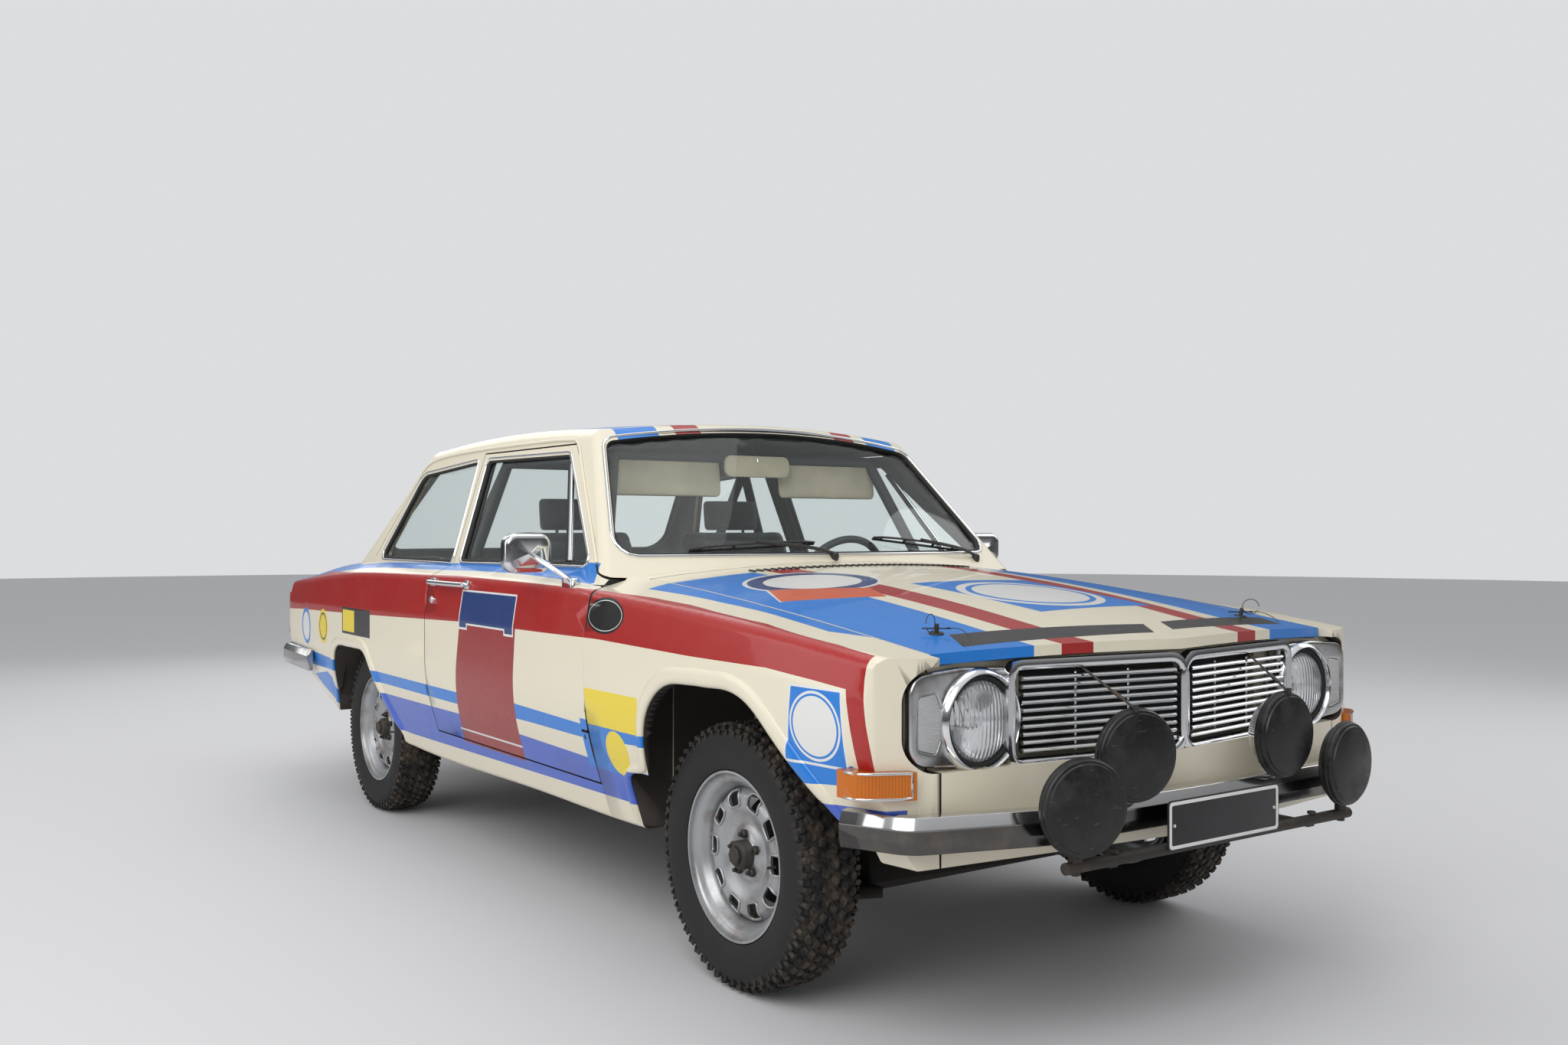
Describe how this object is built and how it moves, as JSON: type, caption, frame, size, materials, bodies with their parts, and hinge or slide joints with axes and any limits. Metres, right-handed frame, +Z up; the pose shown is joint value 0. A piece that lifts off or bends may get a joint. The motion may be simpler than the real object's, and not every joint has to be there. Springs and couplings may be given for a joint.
{
  "type": "rally car",
  "caption": "Two-door rally saloon of about 1970 with opening doors, bonnet and boot lid, steered front wheels, roll cage and a row of covered driving lamps.",
  "frame": {"origin": "on the ground, under the middle of the car's overall length", "axes": "+X forward, +Y to the car's left, +Z up; metres"},
  "size_m": [4.7278, 1.956, 1.493],
  "materials": {
    "body_paint": "gloss",
    "chrome": "polished",
    "wheel_silver": "satin",
    "tyre_rubber": "matte",
    "clear_glass": "clear",
    "lamp_glass": "clear",
    "signal_lens": "gloss",
    "lamp_cover": "matte",
    "dark_trim": "matte",
    "plate_black": "satin",
    "seat_cloth": "matte",
    "cage_black": "satin",
    "engine_iron": "rough",
    "running_gear": "satin",
    "pipe_steel": "brushed"
  },
  "bodies": {
    "chassis": {"body_shell": "body_paint", "roof": "body_paint", "front_wings": "body_paint", "nose_panel": "body_paint", "windscreen": "clear_glass", "rear_window": "clear_glass", "quarter_windows": "clear_glass", "grille": "chrome", "headlamp_bezels": "chrome", "headlamps": "lamp_glass", "signal_lamps": "signal_lens", "front_bumper": "chrome", "rear_bumper": "chrome", "driving_lamps": "lamp_cover", "front_plate": "plate_black", "dashboard": "dark_trim", "seats": "seat_cloth", "roll_cage": "cage_black", "engine": "engine_iron", "radiator": "running_gear", "gearbox": "engine_iron", "fuel_tank": "running_gear", "exhaust": "pipe_steel", "front_suspension": "running_gear", "rear_axle": "running_gear"},
    "bonnet_body": {"bonnet": "body_paint"},
    "boot_body": {"boot_lid": "body_paint", "rear_plate": "plate_black"},
    "door_right_body": {"door_right": "body_paint", "door_glass_right": "clear_glass", "mirror_right": "chrome"},
    "door_left_body": {"door_left": "body_paint", "door_glass_left": "clear_glass", "mirror_left": "chrome"},
    "hand_wheel_body": {"steering_wheel": "dark_trim"},
    "knuckle_right_body": {"knuckle_right": "engine_iron"},
    "knuckle_left_body": {"knuckle_left": "engine_iron"},
    "wheel_front_right_body": {"wheel_front_right": "wheel_silver", "tyre_front_right": "tyre_rubber"},
    "wheel_front_left_body": {"wheel_front_left": "wheel_silver", "tyre_front_left": "tyre_rubber"},
    "wheel_rear_right_body": {"wheel_rear_right": "wheel_silver", "tyre_rear_right": "tyre_rubber"},
    "wheel_rear_left_body": {"wheel_rear_left": "wheel_silver", "tyre_rear_left": "tyre_rubber"}
  },
  "joints": [
    {"name": "bonnet_hinge", "type": "hinge", "parent": "chassis", "child": "bonnet_body", "pos_m": [0.9275, 0, 1.03], "axis": [0, -1, 0], "range_deg": [0, 55]},
    {"name": "boot_hinge", "type": "hinge", "parent": "chassis", "child": "boot_body", "pos_m": [-1.5905, 0, 1], "axis": [0, 1, 0], "range_deg": [0, 70]},
    {"name": "door_right_hinge", "type": "hinge", "parent": "chassis", "child": "door_right_body", "pos_m": [0.8425, -0.845, 0.69], "axis": [0, 0, 1], "range_deg": [0, 65]},
    {"name": "door_left_hinge", "type": "hinge", "parent": "chassis", "child": "door_left_body", "pos_m": [0.8425, 0.845, 0.69], "axis": [0, 0, -1], "range_deg": [0, 65]},
    {"name": "steer_right", "type": "hinge", "parent": "chassis", "child": "knuckle_right_body", "pos_m": [1.4675, -0.585, 0.327], "axis": [0, 0, 1], "range_deg": [-32, 32]},
    {"name": "steer_left", "type": "hinge", "parent": "chassis", "child": "knuckle_left_body", "pos_m": [1.4675, 0.585, 0.327], "axis": [0, 0, 1], "range_deg": [-32, 32]},
    {"name": "hand_wheel_turn", "type": "hinge", "parent": "chassis", "child": "hand_wheel_body", "pos_m": [0.46814, 0.35, 0.9083], "axis": [-0.9272, 0, 0.3746], "range_deg": [-545, 545]},
    {"name": "wheel_front_right_spin", "type": "hinge", "parent": "knuckle_right_body", "child": "wheel_front_right_body", "pos_m": [1.4675, -0.694, 0.327], "axis": [0, 1, 0], "continuous": true},
    {"name": "wheel_front_left_spin", "type": "hinge", "parent": "knuckle_left_body", "child": "wheel_front_left_body", "pos_m": [1.4675, 0.694, 0.327], "axis": [0, 1, 0], "continuous": true},
    {"name": "wheel_rear_right_spin", "type": "hinge", "parent": "chassis", "child": "wheel_rear_right_body", "pos_m": [-1.1525, -0.694, 0.327], "axis": [0, 1, 0], "continuous": true},
    {"name": "wheel_rear_left_spin", "type": "hinge", "parent": "chassis", "child": "wheel_rear_left_body", "pos_m": [-1.1525, 0.694, 0.327], "axis": [0, 1, 0], "continuous": true}
  ],
  "couplings": [
    {"joint": "steer_left", "follows": "steer_right", "ratio": 1},
    {"joint": "hand_wheel_turn", "follows": "steer_right", "ratio": 17}
  ]
}
